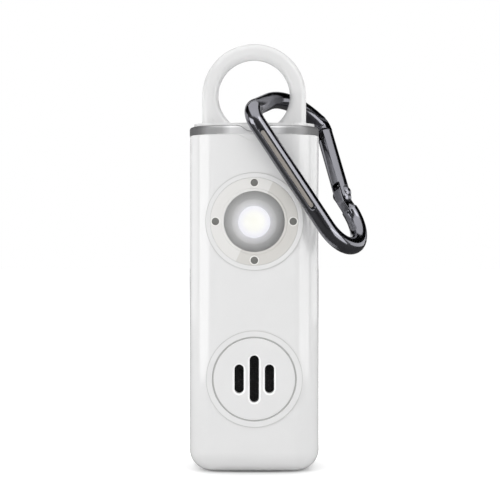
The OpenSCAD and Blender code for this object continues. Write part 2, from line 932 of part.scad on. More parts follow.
module release_pin() {
    lead = 0.6;
    color("#c8c8ca") {
        translate([0, 0, keel_z - eps])
            cylinder(d = spigot_d, h = spigot_l);
        translate([0, 0, pin_tip_z + lead])
            cylinder(d = pin_d, h = pin_l - lead);
        translate([0, 0, pin_tip_z])
            cylinder(d1 = pin_d - 2 * lead, d2 = pin_d, h = lead);
    }
}

// Snap hook

module hook_place() {
    translate(hook_o)
        rotate([90 - hook_tilt, hook_lean, 0])
            children();
}

// Bent stretch of the rod about c, which starts at angle from and goes on by angle turn
module rod_bend(c, r, from, turn) {
    translate([c.x, c.y, 0])
        rotate(from)
            mirror([0, turn < 0 ? 1 : 0, 0])
                rotate_extrude(angle = abs(turn))
                    translate([r, 0])
                        circle(rod_r);
}

// Straight stretch of round bar from p to q, tapering where r2 differs
module rod_run(p, q, r1 = rod_r, r2 = rod_r) {
    along = q - p;
    translate([p.x, p.y, 0])
        rotate([0, 0, atan2(along.y, along.x)])
            rotate([0, 90, 0])
                cylinder(r1 = r1, r2 = r2, h = norm(along));
}

// The gate's own axes: x runs from the rivet to the nose, y out of the hook
module gate_place() {
    translate([hinge.x, hinge.y, 0])
        rotate([0, 0, 180 - gate_a])
            mirror([0, 1, 0])
                children();
}

// Groove with round ends along the spine
module spine_groove() {
    rotate([-groove_turn, 0, 0])
        translate([0, groove_deep - rod_r, 0])
            rotate([90, 0, 0])
                linear_extrude(rod_d) {
                    translate([groove_from, -groove_w / 2])
                        square([groove_to - groove_from, groove_w]);
                    for (x = [groove_from, groove_to])
                        translate([x, 0])
                            circle(d = groove_w);
                }
}

// Outline of the flat tail, from inside the heel round its bend to the rivet
module tail_outline() {
    tail_root = 1;
    translate([knee.x, knee.y - tenon_r])
        square([tail_l + tail_root, 2 * tenon_r]);
    translate(knee)
        rotate(180 - gate_a)
            translate([0, -tenon_r])
                square([tail_up, 2 * tenon_r]);
    for (p = [knee, hinge])
        translate(p)
            circle(tenon_r);
}

// Flat tongue of the nose, in the gate's axes
module tongue() {
    tongue_w = rod_r * 1.3;
    translate([nose_reach - nose_l - tongue_l, -tongue_w / 2, -tongue_t / 2])
        cube([tongue_l + nose_l, tongue_w, tongue_t]);
}

module carabiner_frame() {
    knuckle = 1.03;
    color("#1b1b1d")
        hook_place()
            difference() {
                union() {
                    rod_run([0, 0], [spine_l, 0]);
                    rod_bend(crown_c, crown_r, 180, 90);
                    rod_run([-crown_r, crown_r], [-crown_r, crown_r + top_l]);
                    rod_bend(arch_c, arch_r, 180, nose_a - 180);
                    rod_bend(nose_c, nose_r, 90 - gate_a, nose_a - 90 + gate_a);
                    for (p = [nose, arch_c + polar(arch_r, nose_a)])
                        translate([p.x, p.y, 0])
                            sphere(rod_r * knuckle);
                    rod_bend(heel_c, heel_r, -90, 180);
                    rod_run(heel_end, heel_end - [shoulder_l, 0], rod_r, shoulder_r);
                    translate([0, 0, -tenon_t / 2])
                        linear_extrude(tenon_t)
                            tail_outline();
                    gate_place()
                        tongue();
                }
                gate_place()
                    difference() {
                        translate([nose_reach - nose_l - 2 * rod_d, -rod_d, -rod_d])
                            cube(2 * rod_d);
                        tongue();
                    }
                gate_place()
                    for (s = [0, 1])
                        mirror([0, 0, s])
                            translate([nose_reach - nose_l - past, -rod_d, rod_r - nose_flat])
                                cube([nose_flat_l + past, 2 * rod_d, rod_d]);
                translate([hinge.x, hinge.y, -rod_d])
                    cylinder(d = rivet_d + run, h = 2 * rod_d);
                spine_groove();
            }
}

module gate_rivet() {
    color("#8c8c90")
        hook_place()
            translate([hinge.x, hinge.y, 0]) {
                translate([0, 0, -rivet_seat - eps])
                    cylinder(d = rivet_d, h = 2 * rivet_seat + 2 * eps);
                for (s = [0, 1])
                    mirror([0, 0, s])
                        intersection() {
                            translate([0, 0, rivet_seat])
                                cylinder(d = rivet_head_d, h = rivet_head_h);
                            translate([0, 0, rivet_seat + rivet_head_h - rivet_dome_r])
                                sphere(rivet_dome_r);
                        }
            }
}

module carabiner_gate() {
    color("#222224")
        hook_place()
            gate_place()
                difference() {
                    translate([-gate_tail, 0, 0]) {
                        sphere(rod_r);
                        rotate([0, 90, 0])
                            cylinder(r = rod_r, h = gate_tail + gate_l);
                    }
                    translate([-2 * rod_d, -rod_d, -slot_t / 2])
                        cube([2 * rod_d + slot_bottom, 2 * rod_d, slot_t]);
                    translate([gate_l - notch_l, -rod_d, -notch_t / 2])
                        cube([rod_d, 2 * rod_d, notch_t]);
                    translate([slot_bottom - past, 0, 0])
                        rotate([0, 90, 0])
                            cylinder(d = gate_bore, h = bore_l - slot_bottom + past);
                    translate([0, 0, -rod_d])
                        cylinder(d = rivet_d + 2 * run, h = 2 * rod_d);
                    for (s = [0, 1])
                        mirror([0, 0, s])
                            translate([0, 0, rivet_seat - run])
                                cylinder(d = rivet_head_d + 4 * run, h = rod_r);
                }
}

// Ring of the spring's wire at angle a, as six corners
function spring_ring(a) = [
    for (k = [0:60:300])
        let (r = spring_r + spring_wire / 2 * cos(k))
            [
                spring_from + spring_wire / 2 + a / 360 * spring_pitch + spring_wire / 2 * sin(k),
                r * cos(a), r * sin(a)
            ]
];

module gate_spring() {
    sides = 6;
    rings = 8 * spring_turns;
    points = [for (i = [0:rings]) each spring_ring(i * 45)];
    skin = [
        for (i = [0:rings - 1], k = [0:sides - 1])
            let (a = i * sides + k, b = i * sides + (k + 1) % sides)
                each [[a, b, b + sides], [a, b + sides, a + sides]]
    ];
    ends = [
        for (k = [1:sides - 2])
            each [[0, k + 1, k], [rings * sides, rings * sides + k, rings * sides + k + 1]]
    ];
    color("#b0b0b2")
        hook_place()
            gate_place()
                polyhedron(points, concat(skin, ends));
}

module gate_plunger() {
    nose = gate_bore / 2 - run;
    color("#9a9a9e")
        hook_place()
            gate_place()
                translate([spring_from - plunger_l, 0, 0])
                    rotate([0, 90, 0]) {
                        translate([0, 0, nose])
                            sphere(nose);
                        translate([0, 0, nose])
                            cylinder(r = nose, h = plunger_l - nose - eps);
                    }
}

front_housing();
rear_cover();
trim_band();
pin_guide();
lamp_bezel();
bezel_studs();
lamp_lens();
lamp_reflector();
strobe_led();
siren_grille();
grille_mesh();
siren_case();
sounder_disc();
piezo_element();
siren_pins();
circuit_board();
board_screws();
boost_coil();
driver_chip();
coin_cells();
cell_contacts();
cell_clips();
trigger_switch();
rear_screws();
pull_loop();
release_pin();
switch_plunger();
carabiner_frame();
gate_rivet();
carabiner_gate();
gate_spring();
gate_plunger();
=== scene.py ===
import json
import math

import bmesh
import bpy
from mathutils import Matrix, Vector

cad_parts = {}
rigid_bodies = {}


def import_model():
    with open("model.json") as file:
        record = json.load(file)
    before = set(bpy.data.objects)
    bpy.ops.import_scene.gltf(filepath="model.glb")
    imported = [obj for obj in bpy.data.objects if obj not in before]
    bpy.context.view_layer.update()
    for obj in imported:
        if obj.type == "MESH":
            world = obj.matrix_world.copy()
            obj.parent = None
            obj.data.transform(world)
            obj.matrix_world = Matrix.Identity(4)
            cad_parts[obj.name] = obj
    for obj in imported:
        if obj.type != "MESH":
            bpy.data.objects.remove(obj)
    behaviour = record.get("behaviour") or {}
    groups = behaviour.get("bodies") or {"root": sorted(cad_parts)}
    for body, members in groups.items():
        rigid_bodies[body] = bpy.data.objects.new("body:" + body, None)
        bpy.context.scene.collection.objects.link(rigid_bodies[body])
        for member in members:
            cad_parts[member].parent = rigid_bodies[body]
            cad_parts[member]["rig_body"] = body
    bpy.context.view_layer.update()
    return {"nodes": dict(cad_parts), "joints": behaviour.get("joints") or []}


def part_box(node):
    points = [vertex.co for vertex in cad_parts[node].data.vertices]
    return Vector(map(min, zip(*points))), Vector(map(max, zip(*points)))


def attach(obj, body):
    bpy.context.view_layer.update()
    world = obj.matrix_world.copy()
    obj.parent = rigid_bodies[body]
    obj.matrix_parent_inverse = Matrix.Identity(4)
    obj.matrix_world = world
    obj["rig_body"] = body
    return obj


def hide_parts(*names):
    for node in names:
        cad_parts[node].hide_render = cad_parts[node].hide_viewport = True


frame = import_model()
nodes = frame["nodes"]
mm = 0.001
print("frame loaded:", len(nodes), "CAD nodes")

scene = bpy.context.scene
scene.view_settings.view_transform = "Standard"


# height of the middle of a CAD node, in mm
def middleHeight(node):
    low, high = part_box(node)
    return round((low[2] + high[2]) / 2 / mm, 3)


lampZ = middleHeight("lamp_bezel")  # the lamp's axis
sirenZ = middleHeight("siren_grille")  # the siren's axis
mixA, mixB, mixed = 6, 7, 2  # sockets of a colour Mix node: its two colours, and the result


# sRGB hex to the linear colour that Blender's sockets take
def linear(hexColour):
    values = [int(hexColour[i : i + 2], 16) / 255 for i in (1, 3, 5)]
    return [v / 12.92 if v <= 0.04045 else ((v + 0.055) / 1.055) ** 2.4 for v in values] + [1.0]


# texture scale at which a pattern repeats about every so many millimetres
def perMm(size):
    return 1 / (size * mm)


# adds a node: attributes by name, inputs as values or as sockets to link
def addNode(tree, kind, inputs=None, **attributes):
    node = tree.nodes.new(kind)
    for name, value in attributes.items():
        setattr(node, name, value)
    for key, value in (inputs or {}).items():
        if isinstance(value, bpy.types.NodeSocket):
            tree.links.new(value, node.inputs[key])
        else:
            node.inputs[key].default_value = value
    return node


# camera: level with the middle of the photo, straight at the front; place in mm
cameraSet = {"place": (-0.98, -300.0, 51.1), "lens": 92.15, "sensor": 36.0, "near": 0.01}
cameraData = bpy.data.cameras.new("camera")
cameraData.lens = cameraSet["lens"]
cameraData.sensor_width = cameraSet["sensor"]
cameraData.clip_start = cameraSet["near"]
camera = bpy.data.objects.new("camera", cameraData)
camera.location = [v * mm for v in cameraSet["place"]]
camera.rotation_euler = (math.radians(90), 0, 0)
scene.collection.objects.link(camera)
scene.camera = camera
print("camera set")

# studio: white behind, a dim room on the camera's side, soft boxes left, right and above, and two fills
# behind them; the right box throws no shadow, so the hook leaves only one on the body, and the hook's box
# shows only in gloss, as the streak along the rod
studioSet = {
    "ambient": 0.2,
    "room": (0.13, 0.0),  # brightness towards the camera, and away from it
    "roomTurn": (-0.6, 0.2),  # headings between which it falls off, as the Y of a unit vector
    "backdrop": (0.8, 0.95),  # headings between which the white backdrop begins
    "middle": 45,  # height that the boxes stand about, mm
    "floorSize": 6,  # m
    "floorColour": "#f0f0f0",
    "floorMirrored": "#626262",  # what gloss sees of the floor
    # the glow is none at the base and full further out, which paints a darker pool round the base: painted
    # shadow
    "floorLift": (0.0, 0.9),  # glow that turns the floor white, at the base and further out
    "floorFade": (5, 40),  # mm from the middle of the base
    "boxes": {
        "leftBox": {"aim": 56, "rise": 2, "far": 0.22, "size": (0.167, 0.11), "bright": 2.75},
        "rightBox": {"aim": -56, "rise": 2, "far": 0.22, "size": (0.167, 0.11), "bright": 2.2,
                     "shadow": False},
        "leftFill": {"aim": 112, "rise": 5, "far": 0.6, "size": (0.5, 0.3), "bright": 1.0},
        "rightFill": {"aim": -112, "rise": 5, "far": 0.6, "size": (0.5, 0.3), "bright": 1.35},
        "hookBox": {"aim": -56, "rise": 28, "far": 0.4, "size": (0.26, 0.26), "bright": 2.0,
                    "fills": False},
        "overBox": {"aim": 0, "rise": 75, "far": 0.55, "size": (1.0, 1.0), "bright": 1.4},
    },
}

world = bpy.data.worlds.new("studio")
world.use_nodes = True
scene.world = world
tree = world.node_tree
tree.nodes.clear()
path = addNode(tree, "ShaderNodeLightPath").outputs
around = addNode(tree, "ShaderNodeTexCoord").outputs["Generated"]
heading = addNode(tree, "ShaderNodeSeparateXYZ", {0: around}).outputs["Y"]
start, end = studioSet["roomTurn"]
near, far = studioSet["room"]
room = addNode(
    tree,
    "ShaderNodeMapRange",
    {"Value": heading, "From Min": start, "From Max": end, "To Min": near, "To Max": far},
    interpolation_type="SMOOTHSTEP",
)
start, end = studioSet["backdrop"]
behind = addNode(
    tree,
    "ShaderNodeMapRange",
    {"Value": heading, "From Min": start, "From Max": end, "To Min": room.outputs["Result"], "To Max": 1.0},
    interpolation_type="SMOOTHSTEP",
)
mirrored = addNode(
    tree,
    "ShaderNodeMath",
    {0: path["Is Glossy Ray"], 1: path["Is Transmission Ray"]},
    operation="MAXIMUM",
)
reflected = addNode(
    tree,
    "ShaderNodeMix",
    {"Factor": mirrored.outputs[0], "A": studioSet["ambient"], "B": behind.outputs["Result"]},
)
seen = addNode(
    tree,
    "ShaderNodeMix",
    {"Factor": path["Is Camera Ray"], "A": reflected.outputs["Result"], "B": 1.0},
)
sky = addNode(tree, "ShaderNodeBackground", {"Color": (1, 1, 1, 1), "Strength": seen.outputs["Result"]})
addNode(tree, "ShaderNodeOutputWorld", {"Surface": sky.outputs[0]})

for name, box in studioSet["boxes"].items():
    light = bpy.data.lights.new(name, "AREA")
    light.shape = "RECTANGLE"
    light.use_shadow = box.get("shadow", True)
    light.size, light.size_y = box["size"]
    light.energy = box["bright"] * math.pi * box["size"][0] * box["size"][1]  # watts for that radiance
    lamp = bpy.data.objects.new(name, light)
    turn = math.radians(box["aim"])
    lift = math.radians(box["rise"])
    lamp.location = (
        -box["far"] * math.sin(turn) * math.cos(lift),
        -box["far"] * math.cos(turn) * math.cos(lift),
        box["far"] * math.sin(lift) + studioSet["middle"] * mm,
    )
    lamp.rotation_euler = (math.radians(90) - lift, 0, -turn)
    lamp.visible_camera = False
    lamp.visible_diffuse = box.get("fills", True)
    scene.collection.objects.link(lamp)

# floor: pale paper that keeps the shadow under the base and turns white further out; the white glow is
# withheld near the base, so the floor round the base is painted darker, a painted shadow over the real one
floorMaterial = bpy.data.materials.new("paleFloor")
floorMaterial.use_nodes = True
tree = floorMaterial.node_tree
tree.nodes.clear()
path = addNode(tree, "ShaderNodeLightPath").outputs
seen = addNode(
    tree,
    "ShaderNodeMath",
    {0: path["Is Transmission Ray"], 1: path["Is Camera Ray"]},
    operation="MAXIMUM",
)
place = addNode(tree, "ShaderNodeTexCoord").outputs["Object"]
away = addNode(tree, "ShaderNodeVectorMath", {0: place}, operation="LENGTH")
# painted shadow: the glow grows with the distance from the base
paintedShadeRamp = addNode(
    tree,
    "ShaderNodeMapRange",
    {
        "Value": away.outputs["Value"],
        "From Min": studioSet["floorFade"][0] * mm,
        "From Max": studioSet["floorFade"][1] * mm,
        "To Min": studioSet["floorLift"][0],
        "To Max": studioSet["floorLift"][1],
    },
)
lift = addNode(tree, "ShaderNodeMath", {0: seen.outputs[0], 1: paintedShadeRamp.outputs["Result"]}, operation="MULTIPLY")
toned = addNode(
    tree,
    "ShaderNodeMix",
    {
        "Factor": path["Is Glossy Ray"],
        mixA: linear(studioSet["floorColour"]),
        mixB: linear(studioSet["floorMirrored"]),
    },
    data_type="RGBA",
)
paper = addNode(tree, "ShaderNodeBsdfDiffuse", {"Color": toned.outputs[mixed]})
glow = addNode(tree, "ShaderNodeEmission", {"Color": (1, 1, 1, 1), "Strength": lift.outputs[0]})
both = addNode(tree, "ShaderNodeAddShader", {0: paper.outputs[0], 1: glow.outputs[0]})
addNode(tree, "ShaderNodeOutputMaterial", {"Surface": both.outputs[0]})
bpy.ops.mesh.primitive_plane_add(size=studioSet["floorSize"], location=(0, 0, 0))
floor = bpy.context.object
floor.name = "floor"
floor.data.materials.append(floorMaterial)
print("studio set")


# each finish: two tones that cloud into each other, roughness that follows a grain, and a slight relief;
# cloud, grain and relief in mm
finishes = {
    # ABS moulded in a polished tool: clear gloss over near-white, with faint flow clouds
    "glossWhiteAbs": {"tones": ("#e2e2e2", "#e7e7e7"), "cloud": 9.0, "rough": (0.05, 0.1), "grain": 0.5,
                      "relief": 0.002, "ior": 1.53},
    # the same resin in the loop: handled, so a little softer in gloss
    "glossLoopAbs": {"tones": ("#e4e4e4", "#e9e9e9"), "cloud": 7.0, "rough": (0.1, 0.16), "grain": 0.5,
                     "relief": 0.003, "ior": 1.53},
    # ABS from an unpolished tool: dull, slightly grainy
    "satinInnerAbs": {"tones": ("#d0d0ce", "#d8d8d5"), "cloud": 4.0, "rough": (0.4, 0.55), "grain": 0.3,
                      "relief": 0.01, "ior": 1.53},
    # ABS on the chamfers of the slots, painted a brighter white: a painted highlight on the chamfers
    "buffedAbs": {"tones": ("#fbfbfb", "#ffffff"), "cloud": 3.0, "rough": (0.2, 0.3), "grain": 0.4,
                  "relief": 0.001, "ior": 1.5},
    # the collars of the studs: the ring's own acrylic, painted paler as a painted highlight round each stud
    "paleAcrylic": {"tones": ("#edece9", "#f1f0ed"), "cloud": 3.0, "rough": (0.15, 0.25), "grain": 0.4,
                    "relief": 0.001, "ior": 1.49},
    # ABS in the line scribed round each pad and in the joint round the lamp ring, painted grey as painted
    # shade in them
    "scribedAbs": {"tones": ("#c6c6c5", "#cfcfce"), "cloud": 3.0, "rough": (0.4, 0.5), "grain": 0.3,
                   "relief": 0.001, "ior": 1.5},
    # the soft seal in the joint round the sound disc: grey rubber, its tone a painted shade of the groove
    # round the disc
    "greyRubber": {"tones": ("#b4b4b3", "#bdbdbc"), "cloud": 3.0, "rough": (0.4, 0.5), "grain": 0.3,
                   "relief": 0.001, "ior": 1.5},
    # dark grey nylon studs, tumbled
    "greyNylon": {"tones": ("#6c6c69", "#7b7b77"), "cloud": 0.6, "rough": (0.35, 0.5), "grain": 0.15,
                  "relief": 0.006, "ior": 1.53},
    # black ABS, matt spark-eroded skin
    "mattBlackAbs": {"tones": ("#191919", "#212122"), "cloud": 1.5, "rough": (0.5, 0.65), "grain": 0.2,
                     "relief": 0.012, "ior": 1.53},
    # polyester thread, dull black, a little hairy
    "wovenPolyester": {"tones": ("#0d0d0d", "#1b1b1b"), "cloud": 0.5, "rough": (0.75, 0.9), "grain": 0.08,
                       "relief": 0.01, "ior": 1.5},
    # rolled brass, lightly tarnished
    "rolledBrass": {"tones": ("#b8954a", "#cfae66"), "cloud": 2.5, "rough": (0.2, 0.32), "grain": 0.3,
                    "relief": 0.003, "metal": 1.0},
    # fired ceramic with a silver print: off-white, dull
    "silveredCeramic": {"tones": ("#dcd8cc", "#e8e5da"), "cloud": 1.2, "rough": (0.45, 0.6), "grain": 0.2,
                        "relief": 0.006, "ior": 1.6},
    # glass-fibre board under green lacquer
    "greenLacquer": {"tones": ("#23583a", "#2f6b45"), "cloud": 1.0, "rough": (0.25, 0.4), "grain": 0.25,
                     "relief": 0.008, "ior": 1.5},
    # steel, zinc plated and passivated: bright with a fine drawn grain
    "platedSteel": {"tones": ("#a6a8aa", "#bbbdbe"), "cloud": 1.8, "rough": (0.18, 0.3), "grain": 0.2,
                    "relief": 0.003, "metal": 1.0},
    # steel rod under black nickel: a dark mirror, a little uneven where the rod was bent
    "blackNickel": {"tones": ("#7c7c82", "#84848a"), "cloud": 3.5, "rough": (0.12, 0.18), "grain": 0.4,
                    "relief": 0.0006, "metal": 1.0},
    # warm grey enamel that fills the groove of the spine, satin
    "grooveEnamel": {"tones": ("#8d8781", "#96908a"), "cloud": 2.0, "rough": (0.4, 0.5), "grain": 0.3,
                     "relief": 0.002, "ior": 1.5},
    # aluminium, brushed round the band and anodised: the lines run level, so the grain is drawn out along X
    # and Y; the oxide scatters, so it is half a mirror; its colour is painted pale in the middle of each face
    # and darker at the corners, a painted reflection and shade; the shade ramp's stops in mm from the middle
    "brushedAluminium": {"tones": ("#f1f1f2", "#fafafb"), "cloud": 6.0, "rough": (0.46, 0.58), "grain": 1.6,
                         "relief": 0.002, "metal": 0.5, "stretch": (0.5, 0.5, 12),
                         "paintedShadeRamp": [(5.4, "#fcfcfc"), (7.4, "#c0c0c0"), (10.0, "#acacac"),
                                  (12.3, "#7a7a7a"), (14.2, "#727272")]},
}


# starts a material: its tree, its shader and the object's own coordinates
def startMaterial(name):
    material = bpy.data.materials.new(name)
    material.use_nodes = True
    tree = material.node_tree
    place = addNode(tree, "ShaderNodeTexCoord").outputs["Object"]
    return material, tree, tree.nodes["Principled BSDF"], place


# roughness that follows a grain of that size in mm; gives the grain
def roughen(tree, shader, place, size, rough):
    grain = addNode(tree, "ShaderNodeTexNoise", {"Vector": place, "Scale": perMm(size), "Detail": 2.0})
    low, high = rough
    gloss = addNode(
        tree,
        "ShaderNodeMapRange",
        {"Value": grain.outputs["Fac"], "To Min": low, "To Max": high},
    )
    tree.links.new(gloss.outputs["Result"], shader.inputs["Roughness"])
    return grain.outputs["Fac"]


# tones that change with a distance: stops of (mm, colour)
def rampTones(tree, distance, stops, reach=15.0):
    share = addNode(tree, "ShaderNodeMapRange", {"Value": distance, "From Max": reach * mm})
    ramp = addNode(tree, "ShaderNodeValToRGB", {"Fac": share.outputs["Result"]})
    marks = ramp.color_ramp.elements
    while len(marks) < len(stops):
        marks.new(1.0)
    for mark, (away, colour) in zip(marks, stops):
        mark.position = away / reach
        mark.color = linear(colour)
    return ramp.outputs["Color"]


# distance from the lamp's axis
def fromLamp(tree, place):
    about = addNode(
        tree,
        "ShaderNodeMapping",
        {"Vector": place, "Location": (0, 0, -lampZ * mm), "Scale": (1, 0, 1)},
    )
    away = addNode(tree, "ShaderNodeVectorMath", {0: about.outputs["Vector"]}, operation="LENGTH")
    return away.outputs["Value"]


# fills in the clouds, grain and relief of a finish; stretch draws the pattern out along an axis, and the
# painted shade ramp darkens it with the distance from the middle plane, a painted reflection and shade
def makeFinish(name, finish):
    material, tree, shader, place = startMaterial(name)
    stretch = finish.get("stretch", (1, 1, 1))
    drawn = addNode(tree, "ShaderNodeMapping", {"Vector": place, "Scale": stretch}).outputs["Vector"]
    cloud = addNode(
        tree,
        "ShaderNodeTexNoise",
        {"Vector": drawn, "Scale": perMm(finish["cloud"]), "Detail": 3.0},
    )
    grain = roughen(tree, shader, drawn, finish["grain"], finish["rough"])
    dark, light = [linear(tone) for tone in finish["tones"]]
    tone = addNode(
        tree,
        "ShaderNodeMix",
        {"Factor": cloud.outputs["Fac"], mixA: dark, mixB: light},
        data_type="RGBA",
    )
    relief = addNode(
        tree,
        "ShaderNodeBump",
        {"Height": grain, "Strength": 1.0, "Distance": finish["relief"] * mm},
    )
    colour = tone.outputs[mixed]
    # painted reflection and shade: the base colour is multiplied darker towards the corners
    if "paintedShadeRamp" in finish:
        apart = addNode(tree, "ShaderNodeSeparateXYZ", {0: place})
        side = addNode(tree, "ShaderNodeMath", {0: apart.outputs["X"]}, operation="ABSOLUTE")
        shade = rampTones(tree, side.outputs[0], finish["paintedShadeRamp"])
        faded = addNode(
            tree,
            "ShaderNodeMix",
            {"Factor": 1.0, mixA: colour, mixB: shade},
            data_type="RGBA",
            blend_type="MULTIPLY",
        )
        colour = faded.outputs[mixed]
    tree.links.new(colour, shader.inputs["Base Color"])
    tree.links.new(relief.outputs["Normal"], shader.inputs["Normal"])
    shader.inputs["Metallic"].default_value = finish.get("metal", 0.0)
    if "ior" in finish:
        shader.inputs["IOR"].default_value = finish["ior"]
    return material


made = {name: makeFinish(name, finish) for name, finish in finishes.items()}

# clear polycarbonate, polished: a thin hard gloss, hardly any tint
lensSet = {"tint": "#fafafa", "smear": 4.0, "rough": (0.06, 0.1), "ior": 1.5}
made["clearPolycarbonate"], tree, shader, place = startMaterial("clearPolycarbonate")
roughen(tree, shader, place, lensSet["smear"], lensSet["rough"])
shader.inputs["Base Color"].default_value = linear(lensSet["tint"])
shader.inputs["Transmission Weight"].default_value = 1.0
shader.inputs["IOR"].default_value = lensSet["ior"]

# plastic metallised in a vacuum: soft silver, its colour painted brighter in the inner cone next to the diode
# and darker outwards: painted light from the diode
reflectorSet = {
    "stops": [(3.4, "#ebebeb"), (4.3, "#e2e2e0"), (4.9, "#d8d8d6"), (5.2, "#cdcdcd"), (6.9, "#b2b2b2")],
    "grain": 0.4,
    "rough": (0.35, 0.5),
    "metal": 0.2,
}
made["metallisedPlastic"], tree, shader, place = startMaterial("metallisedPlastic")
# painted light: the base colour falls off with the distance from the lamp's axis
tones = rampTones(tree, fromLamp(tree, place), reflectorSet["stops"])
tree.links.new(tones, shader.inputs["Base Color"])
roughen(tree, shader, place, reflectorSet["grain"], reflectorSet["rough"])
shader.inputs["Metallic"].default_value = reflectorSet["metal"]

# diode moulded in milky resin, lit: warm white in the middle, a lavender rim
diodeSet = {
    "stops": [(0.0, "#fefef4"), (2.0, "#fdfdf8"), (2.8, "#f6f6fa"), (3.15, "#eeeef4"), (3.5, "#e2e2e8")],
    "resin": "#505050",
    "haze": 2.0,
    "rough": (0.3, 0.4),
    "glow": 1.04,
}
made["milkyResin"], tree, shader, place = startMaterial("milkyResin")
tones = rampTones(tree, fromLamp(tree, place), diodeSet["stops"])
tree.links.new(tones, shader.inputs["Emission Color"])
roughen(tree, shader, place, diodeSet["haze"], diodeSet["rough"])
shader.inputs["Base Color"].default_value = linear(diodeSet["resin"])
shader.inputs["Emission Strength"].default_value = diodeSet["glow"]

# warm-white acrylic, polished, with a painted reflection: a paler and a deeper tone that meet on a slanting
# line
bezelSet = {
    "pale": ("#e3e2e0", "#e6e5e3"),
    "deep": ("#d4d2ce", "#d8d6d2"),
    "slant": 25,  # lean of the painted reflection's edge, degrees
    "reflectionEdge": 0.1,  # half of that line's width, mm
    "flow": 5.0,
    "rough": (0.04, 0.09),
    "ior": 1.55,
}
made["ivoryAcrylic"], tree, shader, place = startMaterial("ivoryAcrylic")
about = addNode(tree, "ShaderNodeMapping", {"Vector": place, "Location": (0, 0, -lampZ * mm)})
slant = math.radians(bezelSet["slant"])
side = addNode(
    tree,
    "ShaderNodeVectorMath",
    {0: about.outputs["Vector"], 1: (math.cos(slant), 0, -math.sin(slant))},
    operation="DOT_PRODUCT",
)
reflectionEdge = bezelSet["reflectionEdge"] * mm
# painted reflection: which side of the slanting edge each point lies on, blurred over the edge's width
reflectionSplit = addNode(
    tree,
    "ShaderNodeMapRange",
    {"Value": side.outputs["Value"], "From Min": -reflectionEdge, "From Max": reflectionEdge},
)
flow = roughen(tree, shader, place, bezelSet["flow"], bezelSet["rough"])
# the painted reflection's paler and deeper halves, each clouded
reflectionTones = []
for resin in ("pale", "deep"):
    first, second = [linear(tone) for tone in bezelSet[resin]]
    clouded = addNode(tree, "ShaderNodeMix", {"Factor": flow, mixA: first, mixB: second}, data_type="RGBA")
    reflectionTones.append(clouded.outputs[mixed])
tone = addNode(
    tree,
    "ShaderNodeMix",
    {"Factor": reflectionSplit.outputs["Result"], mixA: reflectionTones[0], mixB: reflectionTones[1]},
    data_type="RGBA",
)
tree.links.new(tone.outputs[mixed], shader.inputs["Base Color"])
shader.inputs["IOR"].default_value = bezelSet["ior"]
print("materials made:", len(made))

# the finish of every CAD node
worn = {
    "glossWhiteAbs": ["front_housing", "rear_cover", "siren_grille"],
    "glossLoopAbs": ["pull_loop"],
    "satinInnerAbs": ["pin_guide", "switch_plunger"],
    "brushedAluminium": ["trim_band"],
    "ivoryAcrylic": ["lamp_bezel"],
    "greyNylon": ["bezel_studs"],
    "clearPolycarbonate": ["lamp_lens"],
    "metallisedPlastic": ["lamp_reflector"],
    "milkyResin": ["strobe_led"],
    "wovenPolyester": ["grille_mesh"],
    "mattBlackAbs": ["siren_case", "driver_chip", "trigger_switch", "boost_coil"],
    "rolledBrass": ["sounder_disc", "cell_contacts"],
    "silveredCeramic": ["piezo_element"],
    "greenLacquer": ["circuit_board"],
    "platedSteel": ["siren_pins", "board_screws", "rear_screws", "coin_cells", "cell_clips", "release_pin",
                    "gate_spring", "gate_plunger"],
    "blackNickel": ["carabiner_frame", "carabiner_gate", "gate_rivet"],
}
finishOf = {name: finish for finish, names in worn.items() for name in names}
for name, finish in finishOf.items():
    nodes[name].data.materials.clear()
    nodes[name].data.materials.append(made[finish])
print("finishes on:", len(finishOf), "nodes")


# hands a finished mesh over as a piece that stands for a CAD node, or goes with it
def addPiece(name, mesh, node, finish=None, stands=True):
    mesh.materials.clear()
    mesh.materials.append(made[finish or finishOf[node]])
    piece = bpy.data.objects.new(name, mesh)
    scene.collection.objects.link(piece)
    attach(piece, nodes[node]["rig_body"])
    if stands:
        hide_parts(node)


# smooth over curves, flat over flats, with creases where the surface turns sharply
def shadeByAngle(mesh, degrees=38):
    for face in mesh.polygons:
        face.use_smooth = True
    mesh.set_sharp_from_angle(angle=math.radians(degrees))


# runs the modifiers that an object has and gives the result as a plain mesh
def settle(thing):
    graph = bpy.context.evaluated_depsgraph_get()
    mesh = bpy.data.meshes.new_from_object(thing.evaluated_get(graph))
    thing.modifiers.clear()
    bpy.data.objects.remove(thing)
    return mesh


# writes a bmesh out as a mesh with its faces outward
def writeMesh(name, work):
    bmesh.ops.recalc_face_normals(work, faces=work.faces)
    mesh = bpy.data.meshes.new(name)
    work.to_mesh(mesh)
    work.free()
    shadeByAngle(mesh)
    return mesh


# mouldings and pressings have eased edges: a copy of the CAD node, made whole, with every sharp edge rounded
easeSet = {"weld": 0.0005, "flat": 0.4, "sharp": 30, "segments": 2}  # weld in mm, flat and sharp in degrees
easedEdges = {
    "frontShell": {"node": "front_housing", "round": 0.09},
    "rearShell": {"node": "rear_cover", "round": 0.09},
    "topBand": {"node": "trim_band", "round": 0.1, "cut": 77.5},
    "lampRing": {"node": "lamp_bezel", "round": 0.07},
    "soundDisc": {"node": "siren_grille", "round": 0.08},
    "hookRod": {"node": "carabiner_frame", "round": 0.1},
    "hookGate": {"node": "carabiner_gate", "round": 0.12},
}


